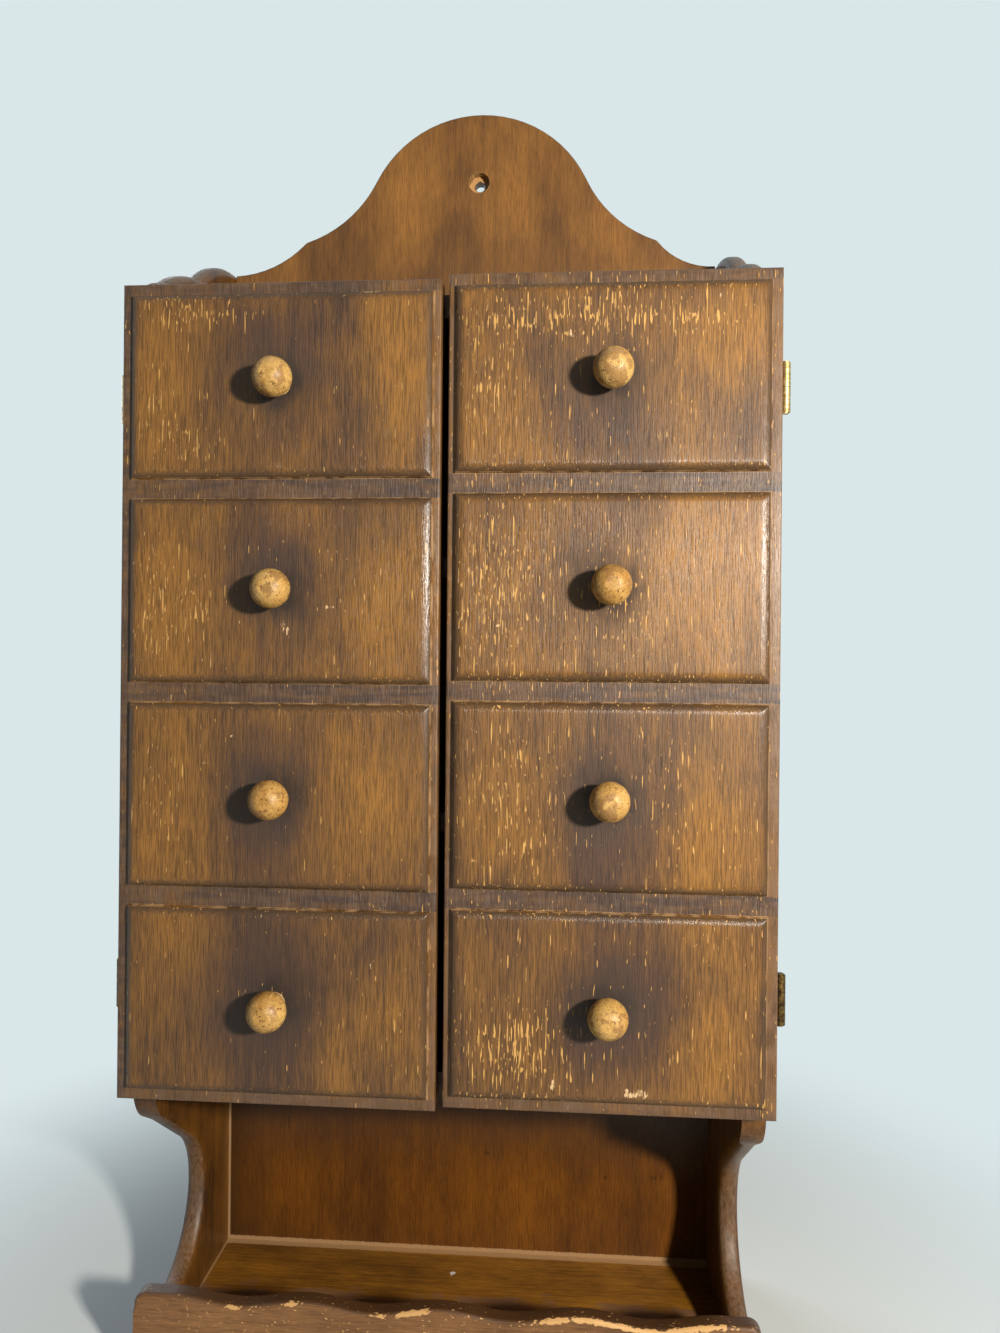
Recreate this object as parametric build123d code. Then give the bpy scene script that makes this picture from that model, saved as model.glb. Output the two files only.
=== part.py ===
from build123d import *
from math import cos, radians, sin
import os

# Spice cabinet: a small wooden wall or shelf cabinet with two doors that are made to look like eight
# drawers, an open shelf on top and an open tray bay below. Millimetres, +Z up, front towards -Y.
# The origin is on the plane it stands on, midway across its width and its depth.

# Carcass boards
case_width = 262.0
side_depth = 97.0
side_thickness = 9.5
back_thickness = 9.5
deck_thickness = 9.5
shelf_thickness = 8.0
tray_floor_thickness = 8.5
housing_depth = 3.0
shelf_setback = 5.0
tier_count = 3

# Doors: each is one board with four raised panels, so that it looks like four drawers. They overhang the
# case at the sides, above its top board and below its bottom board
door_sill = 126.0
door_height = 332.5
door_rise = 2.0
door_overhang = 1.5
door_thickness = 12.7
door_gap = 3.0
right_door_lift = 1.8
bottom_deck_lap = 11.0
panel_count = 4
panel_raise = 3.0
panel_roundover = 2.3
panel_side_margin = 2.8
panel_end_margin = 5.0
panel_spacing = 8.0
door_edge_round = 0.8

# Knobs and the screws that hold them
knob_diameter = 15.6
knob_centre_out = 9.6
knob_neck_radius = 3.4
knob_foot_radius = 4.6
knob_foot_height = 1.2
knob_front_flat = 0.5
knob_screw_radius = 1.7
knob_screw_bite = 9.0
knob_screw_head_radius = 3.0
knob_screw_head_height = 1.5
knob_screw_clearance = 0.2

# Butt hinges
hinge_height = 20.0
hinge_inset = 44.0
hinge_leaf_thickness = 0.9
hinge_leaf_gap = 0.2
hinge_leaf_reach = 8.6
hinge_axis_out = 4.7
hinge_knuckle_radius = 2.1
hinge_pin_radius = 1.0
hinge_pin_clearance = 0.05
hinge_knuckle_count = 4
hinge_knuckle_gap = 0.15
hinge_notch_clearance = 0.3
hinge_pin_head_radius = 1.5
hinge_pin_head_height = 0.4

# Small countersunk brass screws of the hinges and of the strike plates
screw_spacing = 10.0
screw_head_radius = 1.8
screw_shank_radius = 0.9
screw_length = 9.0
strike_screw_length = 7.0
screw_slot_width = 0.5
screw_slot_depth = 0.35

# Magnetic catches under the top board and strike plates on the doors
catch_width = 26.0
catch_depth = 14.0
catch_height = 8.0
catch_offset = 26.0
catch_screw_spacing = 19.0
catch_screw_length = 14.0
magnet_width = 12.0
magnet_depth = 9.0
magnet_height = 4.0
magnet_gap = 0.3
strike_width = 20.0
strike_height = 9.0
strike_thickness = 0.9

# Nails of the carcass
nail_radius = 0.8
nail_head_radius = 1.3
nail_head_height = 0.8
side_nail_length = 26.0
lip_nail_length = 20.0
nail_edge_distance = 18.0
back_nail_heights = (40.0, 190.0, 340.0, 470.0)
lip_nail_offsets = (-80.0, 0.0, 80.0)
fit = 0.05

# Scalloped tops of the side boards: each lobe's far end behind the front edge and above the deck,
# and how far the lobe swells from its chord
side_front_rise = 4.5
side_lobes = ((8.3, 10.5, 1.5), (43.3, 26.5, 2.6), (side_depth, 48.5, 6.0))

# Scooped front edges of the side boards, beside the tray bay
scoop_top_drop = 2.0
scoop_steepness = 84.0
scoop_slope = 37.0
scoop_brow_radius = 22.0
scoop_radius = 34.0
foot_height = 21.8

# Lip of the tray: a wavy top edge and rounded top corners
lip_thickness = 8.0
lip_setback = 1.8
lip_height = 36.0
lip_end_flat = 16.0
lip_wave_count = 4
lip_wave_height = 3.2
lip_corner_radius = 5.0
lip_edge_round = 1.8

# Crest of the back board, which sits right of the middle and leans to the right, and its hole for
# the wall screw
crest_shift = 4.8
crest_lean = 0.9
crest_height = 126.5
crest_dome_radius = 59.4
crest_dome_half_angle = 63.0
crest_slope_length = 1.8
crest_cusp_out = 89.0
crest_cusp_drop = 64.1
crest_cusp_round = 3.0
shoulder_height = 47.5
shoulder_hollow = 3.9
crest_edge_round = 1.0
hang_hole_shift = 3.6
hang_hole_radius = 2.5
hang_recess_radius = 5.2
hang_recess_depth = 4.5
hang_hole_drop = 34.6

# Places worked out from the sizes above
half_width = case_width / 2
inner_half_width = half_width - side_thickness
knob_reach = knob_centre_out + knob_diameter / 2 - knob_front_flat
leaf_space = 2 * hinge_leaf_thickness + hinge_leaf_gap
overall_depth = knob_reach + door_thickness + leaf_space + side_depth
door_front = knob_reach - overall_depth / 2
door_back = door_front + door_thickness
case_front = door_back + leaf_space
case_back = case_front + side_depth
back_front = case_back - back_thickness
deck_top = door_sill + door_height - door_rise
deck_bottom = deck_top - deck_thickness
bay_floor_z = door_sill + bottom_deck_lap
bay_ceiling = bay_floor_z - deck_thickness
lip_front = case_front + lip_setback
lip_back = lip_front + lip_thickness
tier_height = (deck_bottom - bay_floor_z - (tier_count - 1) * shelf_thickness) / tier_count
panel_centre_x = (half_width + door_gap / 2) / 2
panel_width = half_width - door_gap / 2 - 2 * panel_side_margin
panel_height = (door_height - 2 * panel_end_margin - (panel_count - 1) * panel_spacing) / panel_count
panel_pitch = panel_height + panel_spacing
hinge_axis_x = half_width + hinge_axis_out
hinge_axis_y = door_back + leaf_space / 2
hands = {"left": -1, "right": 1}
door_lifts = {"left": 0.0, "right": right_door_lift}
corner = (Align.MIN, Align.MIN, Align.MIN)
upright = (Align.CENTER, Align.CENTER, Align.MIN)


def box_between(low, high):
    """Returns the block between two opposite corners, given in either order."""
    start = [min(a, b) for a, b in zip(low, high)]
    size = [abs(a - b) for a, b in zip(low, high)]
    return Pos(*start) * Box(*size, align=corner)


def rod(start, direction, radius, length):
    """Returns a cylinder that runs from start along direction."""
    return Plane(origin=start, z_dir=direction) * Cylinder(radius, length, align=upright)


def nail(start, direction, length, clearance=0.0):
    """Returns a finishing nail driven from start along direction, its head flush with the wood."""
    head = rod(start, direction, nail_head_radius + clearance, nail_head_height + clearance)
    return head + rod(start, direction, nail_radius + clearance, length + clearance)


def countersunk_screw(start, direction, length, head_depth, clearance=0.0):
    """Returns a flat-headed screw driven from start along direction, its head flush with the metal."""
    taper = Cone(screw_head_radius + clearance, screw_shank_radius + clearance, head_depth, align=upright)
    head = Plane(origin=start, z_dir=direction) * taper
    return head + rod(start, direction, screw_shank_radius + clearance, length + clearance)


def slotted(screw, start, direction):
    """Returns the screw with a driver slot across its flat head at start."""
    slot = Box(3 * screw_head_radius, screw_slot_width, 2 * screw_slot_depth)
    return screw - Plane(origin=start, z_dir=direction) * slot


def solids_of(pieces):
    """Returns one compound that keeps each piece as a solid of its own."""
    return Compound(children=[solid for piece in pieces for solid in piece.solids()])


# ---- Levels and places that repeat ----

def shelf_levels():
    """Returns the underside heights of the inner shelves, lowest first."""
    step = tier_height + shelf_thickness
    return [bay_floor_z + tier_height + i * step for i in range(tier_count - 1)]


def housed_boards():
    """Returns (underside, thickness, front edge) of each board housed in the side boards."""
    shelf_front = case_front + shelf_setback
    boards = [(0.0, tray_floor_thickness, lip_back), (bay_ceiling, deck_thickness, case_front)]
    boards += [(z, shelf_thickness, shelf_front) for z in shelf_levels()]
    return boards + [(deck_bottom, deck_thickness, case_front)]


def side_nail_starts(hand):
    """Returns where nails enter a side board's outer face: two per housed board, and a row behind."""
    x = hand * half_width
    starts = []
    for z, thickness, front in housed_boards():
        for y in (front + nail_edge_distance, back_front - nail_edge_distance):
            starts.append((x, y, z + thickness / 2))
    starts += [(x, case_back - back_thickness / 2, z) for z in back_nail_heights]
    return starts


def foot_nail_starts(hand):
    """Returns where the nail enters the lip in front of a side board's foot."""
    return [(hand * (half_width - side_thickness / 2), lip_front, foot_height / 2)]


def floor_nail_starts():
    """Returns where nails enter the lip in front of the tray floor."""
    return [(x, lip_front, tray_floor_thickness / 2) for x in lip_nail_offsets]


def panel_centre_heights(side):
    """Returns the heights of a door's panel centres, top one first."""
    first = door_sill + door_lifts[side] + door_height - panel_end_margin - panel_height / 2
    return [first - i * panel_pitch for i in range(panel_count)]


def hinge_heights(side):
    """Returns the heights of the middles of a door's hinges, upper one first."""
    bottom = door_sill + door_lifts[side]
    return {"upper": bottom + door_height - hinge_inset, "lower": bottom + hinge_inset}


def hinge_screw_points(side, y):
    """Returns the centres of a door's hinge screw heads at depth y, on the middle of the side's edge."""
    x = hands[side] * (half_width - side_thickness / 2)
    heights = hinge_heights(side).values()
    return [(x, y, z + k * screw_spacing / 2) for z in heights for k in (-1, 1)]


# ---- Carcass ----

def side_outline():
    """Returns a side board's face in the YZ plane: scalloped top, straight front, scooped below."""
    steep = radians(scoop_steepness)
    slope = radians(scoop_slope)
    brow_start = (case_front, door_sill - scoop_top_drop)
    brow_drop = scoop_brow_radius * (cos(slope) - cos(steep))
    scoop_drop = scoop_radius * (1 + cos(slope))
    straight = (brow_start[1] - foot_height - brow_drop - scoop_drop) / sin(slope)
    brow_turn = scoop_steepness - scoop_slope
    brow = JernArc(brow_start, (cos(steep), -sin(steep)), scoop_brow_radius, brow_turn)
    ramp = PolarLine(brow @ 1, straight, -scoop_slope)
    scoop = JernArc(ramp @ 1, ramp % 1, scoop_radius, scoop_slope - 180)
    foot_top = Line(scoop @ 1, (lip_back, foot_height))
    edges = [brow, ramp, scoop, foot_top]
    edges.append(Line((lip_back, foot_height), (lip_back, 0)))
    edges.append(Line((lip_back, 0), (case_back, 0)))
    ends = [(case_front, deck_top + side_front_rise)]
    ends += [(case_front + y, deck_top + z) for y, z, swell in side_lobes]
    edges.append(Line((case_back, 0), ends[-1]))
    for start, end, lobe in zip(ends, ends[1:], side_lobes):
        edges.append(SagittaArc(end, start, -lobe[2]).reversed())
    edges.append(Line(ends[0], brow_start))
    return Plane.YZ * make_face(edges)


def side_board(side):
    """Returns a side board with housings for the shelves, and nail and screw holes."""
    hand = hands[side]
    board = Pos(X=min(hand * half_width, hand * inner_half_width)) * extrude(side_outline(), side_thickness)
    for z, thickness, front in housed_boards():
        low = (hand * inner_half_width, front, z)
        board -= box_between(low, (hand * (inner_half_width + housing_depth), back_front, z + thickness))
    for start in side_nail_starts(hand):
        board -= nail(start, (-hand, 0, 0), side_nail_length, fit)
    for start in foot_nail_starts(hand):
        board -= nail(start, (0, 1, 0), lip_nail_length, fit)
    for start in hinge_screw_points(side, case_front - hinge_leaf_thickness):
        board -= countersunk_screw(start, (0, 1, 0), screw_length, hinge_leaf_thickness, fit)
    return board


def housed_board(z, thickness, front):
    """Returns a horizontal board that reaches into the housings of both side boards."""
    reach = inner_half_width + housing_depth
    board = box_between((-reach, front, z), (reach, back_front, z + thickness))
    for hand in hands.values():
        for start in side_nail_starts(hand):
            board -= nail(start, (-hand, 0, 0), side_nail_length, fit)
    return board


def tray_floor():
    """Returns the floor of the tray, with holes for the nails through the lip."""
    board = housed_board(*housed_boards()[0])
    for start in floor_nail_starts():
        board -= nail(start, (0, 1, 0), lip_nail_length, fit)
    return board


def top_board():
    """Returns the top board, with holes from below for the screws of the catches."""
    board = housed_board(*housed_boards()[-1])
    for side in hands:
        for start in catch_screw_points(side):
            board -= rod(start, (0, 0, 1), screw_shank_radius + fit, catch_screw_length + fit)
    return board


def crest_half(hand):
    """Returns half of the crest's edge, from its peak to its cusp: dome, short slope and hollow cove."""
    lean = radians(crest_lean)
    upright_cusp = Vector(hand * crest_cusp_out, -crest_cusp_drop)
    peak = Vector(crest_shift, deck_top + crest_height)
    cusp = peak + upright_cusp.rotate(Axis.Z, -crest_lean)
    outwards = (hand * cos(lean), -hand * sin(lean))
    dome = JernArc(peak, outwards, crest_dome_radius, -hand * crest_dome_half_angle)
    slope = Line(dome @ 1, dome @ 1 + (dome % 1) * crest_slope_length)
    return [dome, slope, TangentArc(slope @ 1, cusp, tangent=slope % 1)]


def crest_outline():
    """Returns the back board's face in the XZ plane: the crest with hollow shoulders, and straight sides."""
    edges = [Line((-inner_half_width, 0), (inner_half_width, 0))]
    cusps = []
    for hand in hands.values():
        half = crest_half(hand)
        cusps.append(half[-1] @ 1)
        end = (hand * inner_half_width, deck_top + shoulder_height)
        shoulder = SagittaArc(cusps[-1], end, -hand * shoulder_hollow)
        edges += half + [shoulder, Line(end, (hand * inner_half_width, 0))]
    face = make_face(edges)
    sharp = [v for v in face.vertices() if min((v.center() - cusp).length for cusp in cusps) < fit]
    return Plane.XZ * fillet(sharp, crest_cusp_round)


def back_board():
    """Returns the full-height back board with its crest, hanging hole and nail holes."""
    board = Pos(Y=case_back) * extrude(crest_outline(), back_thickness)
    crest = [e for e in board.edges() if (e @ 0.5).Z > deck_top + shoulder_height / 2]
    rim = [e for e in crest if abs((e @ 0).Y - (e @ 1).Y) < fit and abs((e @ 0.5).X) < inner_half_width - fit]
    board = fillet(rim, crest_edge_round)
    hole = (hang_hole_shift, back_front, deck_top + crest_height - hang_hole_drop)
    board -= rod(hole, (0, 1, 0), hang_hole_radius, back_thickness)
    board -= rod(hole, (0, 1, 0), hang_recess_radius, hang_recess_depth)
    for hand in hands.values():
        for start in side_nail_starts(hand):
            board -= nail(start, (-hand, 0, 0), side_nail_length, fit)
    return board


def lip_outline():
    """Returns the lip's face in the XZ plane: a smooth wave between two rounded top corners."""
    corner_start = half_width - lip_corner_radius
    half_wave = (half_width - lip_end_flat) / lip_wave_count
    points = []
    for i in range(-lip_wave_count, lip_wave_count + 1):
        swing = lip_wave_height / 2 * (1 if (i - lip_wave_count) % 2 == 0 else -1)
        points.append((i * half_wave, lip_height + swing))
    wave = Spline(points, tangents=[(1, 0), (1, 0)])
    edges = [wave]
    for hand in hands.values():
        hump = points[0] if hand < 0 else points[-1]
        shoulder = (hand * half_width, hump[1] - lip_corner_radius)
        edges.append(Line(hump, (hand * corner_start, hump[1])))
        edges.append(TangentArc((hand * corner_start, hump[1]), shoulder, tangent=(hand, 0)))
        edges.append(Line(shoulder, (hand * half_width, 0)))
    edges.append(Line((-half_width, 0), (half_width, 0)))
    return Plane.XZ * make_face(edges)


def tray_lip():
    """Returns the lip that closes the front of the tray, with its top edge rounded."""
    board = Pos(Y=lip_back) * extrude(lip_outline(), lip_thickness)
    limit = lip_height - lip_wave_height / 2 - lip_corner_radius
    rim = [e for e in board.edges() if (e @ 0.5).Z > limit and abs((e @ 0).Y - (e @ 1).Y) < fit]
    board = fillet(rim, lip_edge_round)
    starts = floor_nail_starts() + foot_nail_starts(-1) + foot_nail_starts(1)
    for start in starts:
        board -= nail(start, (0, 1, 0), lip_nail_length, fit)
    return board


# ---- Doors and knobs ----

def door(side):
    """Returns a door: one board with four raised panels, drilled for its knobs, hinges and strike."""
    hand = hands[side]
    low = door_sill + door_lifts[side]
    inner, outer = hand * door_gap / 2, hand * (half_width + door_overhang)
    slab = box_between((inner, door_front + panel_raise, low), (outer, door_back, low + door_height))
    front_edges = slab.edges().filter_by_position(Axis.Y, door_front, door_back - fit, (True, False))
    slab = fillet([e for e in front_edges if abs((e @ 0).Y - (e @ 1).Y) < fit], door_edge_round)
    x = hand * panel_centre_x
    for z in panel_centre_heights(side):
        near = (x - panel_width / 2, door_front, z - panel_height / 2)
        far = (x + panel_width / 2, door_front + 2 * panel_raise, z + panel_height / 2)
        panel = box_between(near, far)
        slab += fillet(panel.edges().group_by(Axis.Y)[0], panel_roundover)
    for start in knob_screw_points(side):
        slab -= rod(start, (0, -1, 0), knob_screw_radius + knob_screw_clearance, door_thickness)
    for start in hinge_screw_points(side, door_back + hinge_leaf_thickness):
        slab -= countersunk_screw(start, (0, -1, 0), screw_length, hinge_leaf_thickness, fit)
    strike = strike_screw_point(side)
    return slab - countersunk_screw(strike, (0, -1, 0), strike_screw_length, strike_thickness, fit)


def knob_screw_points(side):
    """Returns where a door's knob screws enter its back, top one first."""
    return [(hands[side] * panel_centre_x, door_back, z) for z in panel_centre_heights(side)]


def knob(side, z):
    """Returns a turned ball knob with a short neck and foot, bored from behind for its screw."""
    ball_radius = knob_diameter / 2
    ball = Pos(Z=knob_centre_out) * Sphere(ball_radius)
    ball -= Pos(Z=knob_reach) * Cylinder(ball_radius, knob_diameter, align=upright)
    turned = ball + Cylinder(knob_neck_radius, knob_centre_out, align=upright)
    turned += Cone(knob_foot_radius, knob_neck_radius, knob_foot_height, align=upright)
    turned -= Cylinder(knob_screw_radius + fit, knob_screw_bite + fit, align=upright)
    return Plane(origin=(hands[side] * panel_centre_x, door_front, z), z_dir=(0, -1, 0)) * turned


def knob_screw(start):
    """Returns a round-headed screw that runs forwards through the door into its knob."""
    shank = rod(start, (0, -1, 0), knob_screw_radius, door_thickness + knob_screw_bite)
    head = rod(start, (0, 1, 0), knob_screw_head_radius, knob_screw_head_height)
    head = fillet(head.edges().group_by(Axis.Y)[-1], knob_screw_head_height / 2)
    top = (start[0], start[1] + knob_screw_head_height, start[2])
    slot = Pos(*top) * Box(3 * knob_screw_head_radius, 2 * screw_slot_depth, 2 * screw_slot_width)
    return shank + head - slot


# ---- Hinges ----

def knuckle_space(hand, low, high):
    """Returns the space that one leaf leaves free for a knuckle of the other leaf."""
    reach = hinge_knuckle_radius + hinge_notch_clearance
    near = (hand * (hinge_axis_x - reach), hinge_axis_y - reach, low)
    return box_between(near, (hand * (hinge_axis_x + reach), hinge_axis_y + reach, high))


def hinge_leaf(side, z, own_first):
    """Returns one leaf of a butt hinge. own_first is 0 for the case's leaf and 1 for the door's."""
    hand = hands[side]
    into_wood = 1 if own_first == 0 else -1
    near = hinge_axis_y + into_wood * hinge_leaf_gap / 2
    far = near + into_wood * hinge_leaf_thickness
    axis_x = hand * hinge_axis_x
    inner_x = hand * (half_width - hinge_leaf_reach)
    bottom, top = z - hinge_height / 2, z + hinge_height / 2
    leaf = box_between((inner_x, near, bottom), (axis_x, far, top))
    pitch = hinge_height / hinge_knuckle_count
    for i in range(hinge_knuckle_count):
        low = top - (i + 1) * pitch
        if i % 2 == own_first:
            start = (axis_x, hinge_axis_y, low + hinge_knuckle_gap / 2)
            leaf += rod(start, (0, 0, 1), hinge_knuckle_radius, pitch - hinge_knuckle_gap)
        else:
            leaf -= knuckle_space(hand, low - hinge_knuckle_gap / 2, low + pitch + hinge_knuckle_gap / 2)
    bore_radius = hinge_pin_radius + hinge_pin_clearance
    leaf -= rod((axis_x, hinge_axis_y, bottom), (0, 0, 1), bore_radius, hinge_height)
    for start in hinge_screw_points(side, near):
        leaf -= countersunk_screw(start, (0, into_wood, 0), screw_length, hinge_leaf_thickness, fit)
    return leaf


def hinge_pin(side, z):
    """Returns a hinge pin with a peened head at each end."""
    bottom = (hands[side] * hinge_axis_x, hinge_axis_y, z - hinge_height / 2)
    top = (bottom[0], bottom[1], bottom[2] + hinge_height)
    pin = rod(bottom, (0, 0, 1), hinge_pin_radius, hinge_height)
    pin += rod(bottom, (0, 0, -1), hinge_pin_head_radius, hinge_pin_head_height)
    return pin + rod(top, (0, 0, 1), hinge_pin_head_radius, hinge_pin_head_height)


# ---- Catches ----

def catch_x(side):
    """Returns how far across a door's catch sits."""
    return hands[side] * catch_offset


def catch_screw_points(side):
    """Returns where a catch's screws enter it, from below."""
    offsets = (-catch_screw_spacing / 2, catch_screw_spacing / 2)
    y = case_front + catch_depth / 2
    return [(catch_x(side) + dx, y, deck_bottom - catch_height) for dx in offsets]


def magnet_corners(side, clearance=0.0):
    """Returns two opposite corners of a catch's magnet, or of its pocket with a clearance."""
    x, z = catch_x(side), deck_bottom - catch_height / 2
    front = door_back + strike_thickness + magnet_gap
    half_x, half_z = magnet_width / 2 + clearance, magnet_height / 2 + clearance
    back = front + magnet_depth + clearance
    return (x - half_x, front, z - half_z), (x + half_x, back, z + half_z)


def catch_case(side):
    """Returns a catch's moulded case, with a pocket for the magnet and two screw holes."""
    x = catch_x(side)
    low = (x - catch_width / 2, case_front, deck_bottom - catch_height)
    case = box_between(low, (x + catch_width / 2, case_front + catch_depth, deck_bottom))
    case -= box_between(*magnet_corners(side, fit))
    for start in catch_screw_points(side):
        case -= countersunk_screw(start, (0, 0, 1), catch_screw_length, screw_head_radius, fit)
    return case


def strike_screw_point(side):
    """Returns the centre of a strike's screw head, on the strike's face towards the magnet."""
    return (catch_x(side), door_back + strike_thickness, deck_bottom - catch_height / 2)


def strike_plate(side):
    """Returns the steel strike plate on a door's back."""
    x, y, z = strike_screw_point(side)
    low = (x - strike_width / 2, door_back, z - strike_height / 2)
    plate = box_between(low, (x + strike_width / 2, y, z + strike_height / 2))
    return plate - countersunk_screw((x, y, z), (0, -1, 0), strike_screw_length, strike_thickness, fit)


# ---- Fasteners in groups ----

def screws(points, direction, length, head_depth):
    """Returns a slotted countersunk screw at each point, driven along direction."""
    made = [countersunk_screw(p, direction, length, head_depth) for p in points]
    return solids_of([slotted(screw, p, direction) for screw, p in zip(made, points)])


def nails(points, direction, length):
    """Returns a nail at each point, driven along direction."""
    return solids_of([nail(p, direction, length) for p in points])


# ---- The whole cabinet, one entry per piece ----

def cabinet_pieces():
    """Returns each piece of the cabinet under its name."""
    pieces = {"back_board": back_board(), "top_board": top_board(), "tray_floor": tray_floor()}
    pieces["bottom_board"] = housed_board(*housed_boards()[1])
    pieces["lower_shelf"] = housed_board(*housed_boards()[2])
    pieces["upper_shelf"] = housed_board(*housed_boards()[3])
    pieces["tray_lip"] = tray_lip()
    lip_starts = floor_nail_starts() + foot_nail_starts(-1) + foot_nail_starts(1)
    pieces["tray_lip_nails"] = nails(lip_starts, (0, 1, 0), lip_nail_length)
    for side, hand in hands.items():
        pieces[side + "_side"] = side_board(side)
        pieces[side + "_side_nails"] = nails(side_nail_starts(hand), (-hand, 0, 0), side_nail_length)
        pieces.update(door_pieces(side))
        pieces.update(hinge_pieces(side))
        pieces.update(catch_pieces(side))
    return pieces


def door_pieces(side):
    """Returns a door, its knobs and their screws."""
    pieces = {side + "_door": door(side)}
    for number, z in enumerate(panel_centre_heights(side), start=1):
        pieces[f"{side}_knob_{number}"] = knob(side, z)
    pieces[side + "_knob_screws"] = solids_of([knob_screw(p) for p in knob_screw_points(side)])
    return pieces


def hinge_pieces(side):
    """Returns the leaves, pins and screws of a door's two hinges."""
    pieces = {}
    for place, z in hinge_heights(side).items():
        name = f"{side}_{place}_hinge"
        pieces[name + "_case_leaf"] = hinge_leaf(side, z, 0)
        pieces[name + "_door_leaf"] = hinge_leaf(side, z, 1)
        pieces[name + "_pin"] = hinge_pin(side, z)
    case_points = hinge_screw_points(side, case_front - hinge_leaf_thickness)
    door_points = hinge_screw_points(side, door_back + hinge_leaf_thickness)
    pieces[side + "_case_hinge_screws"] = screws(case_points, (0, 1, 0), screw_length, hinge_leaf_thickness)
    pieces[side + "_door_hinge_screws"] = screws(door_points, (0, -1, 0), screw_length, hinge_leaf_thickness)
    return pieces


def catch_pieces(side):
    """Returns a door's catch, magnet, strike and their screws."""
    screw_points, strike_points = catch_screw_points(side), [strike_screw_point(side)]
    return {
        side + "_catch": catch_case(side),
        side + "_catch_magnet": box_between(*magnet_corners(side)),
        side + "_catch_screws": screws(screw_points, (0, 0, 1), catch_screw_length, screw_head_radius),
        side + "_strike": strike_plate(side),
        side + "_strike_screw": screws(strike_points, (0, -1, 0), strike_screw_length, strike_thickness),
    }


os.makedirs("parts", exist_ok=True)
for name, piece in cabinet_pieces().items():
    export_step(piece, f"parts/{name}.step")
print("width over knuckles", 2 * (hinge_axis_x + hinge_knuckle_radius), "depth", overall_depth)
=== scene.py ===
import bmesh
import bpy
import numpy as np
from mathutils import Matrix


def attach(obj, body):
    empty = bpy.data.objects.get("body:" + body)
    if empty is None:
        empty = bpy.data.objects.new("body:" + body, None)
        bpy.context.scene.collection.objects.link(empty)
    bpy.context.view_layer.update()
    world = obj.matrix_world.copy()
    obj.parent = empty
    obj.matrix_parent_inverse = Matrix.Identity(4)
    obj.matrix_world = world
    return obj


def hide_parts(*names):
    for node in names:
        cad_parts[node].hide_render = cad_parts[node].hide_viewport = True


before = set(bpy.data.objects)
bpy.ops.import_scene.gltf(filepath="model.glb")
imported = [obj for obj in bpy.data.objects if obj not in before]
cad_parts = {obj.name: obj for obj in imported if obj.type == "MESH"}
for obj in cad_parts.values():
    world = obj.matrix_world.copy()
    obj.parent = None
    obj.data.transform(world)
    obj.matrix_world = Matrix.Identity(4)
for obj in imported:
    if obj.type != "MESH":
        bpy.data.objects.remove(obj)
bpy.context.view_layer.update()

# ---- Side boards ----
# Two boards of stained pine, 9.5 mm thick, that carry everything else. They are band-sawn to a scalloped
# top and to a scooped opening beside the tray, and those edges are rounded over on both arrises by a router.

mm = 0.001
side_thickness = 9.5
case_half_width = 131.0
case_front = -32.7
case_back = 64.3
lip_back = -22.9
deck_top = 456.5
side_lobes = ((8.3, 10.5, 1.5), (43.3, 26.5, 2.6), (97.0, 48.5, 6.0))
side_front_rise = 4.5
brow_top = 124.0
brow_radius = 22.0
scoop_radius = 34.0
scoop_steepness = 84.0
scoop_slope = 37.0
foot_height = 21.8
side_round = 3.6
side_step = 0.8
rim_reach = 1.5
filler_skin = 0.03  # filler and varnish over the nail heads


def arc(start, heading, turn, radius, count=40):
    """A plane arc that leaves start at heading (degrees) and turns by turn: the centre lies one radius to the
    side that it turns to, and each point lies one radius from it at a right angle to the heading there."""
    way = np.sign(turn)
    angles = np.radians(heading + turn * np.linspace(0, 1, count))
    outward = way * radius * np.stack([np.sin(angles), -np.cos(angles)], -1)
    return np.array(start) - outward[0] + outward


def bow(start, end, rise, count=40):
    """A circular arc between two points that stands rise to the left of its chord: its radius is
    (half chord squared + rise squared) / (2 rise)."""
    start, end = np.array(start, float), np.array(end, float)
    half = np.hypot(*(end - start)) / 2
    radius = (half ** 2 + rise ** 2) / (2 * rise)
    span = np.degrees(np.arcsin(half / abs(radius))) * np.sign(rise)
    heading = np.degrees(np.arctan2(*(end - start)[::-1])) + span
    return arc(start, heading, -2 * span, abs(radius), count)


def even(path, step):
    """The same closed line with its points step apart, found by interpolating along its length."""
    path = np.concatenate([path, path[:1]])
    along = np.concatenate([[0], np.cumsum(np.hypot(*np.diff(path, axis=0).T))])
    places = np.linspace(0, along[-1], int(along[-1] / step), endpoint=False)
    return np.stack([np.interp(places, along, path[:, i]) for i in (0, 1)], -1)


def softened(values, width):
    """Each value of a closed row averaged with its neighbours under a bell curve, whose width is in steps."""
    reach = np.arange(-3 * width, 3 * width + 1)
    bell = np.exp(-0.5 * (reach / width) ** 2)
    return sum(w * np.roll(values, k, axis=0) for k, w in zip(reach, bell / bell.sum()))


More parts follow.
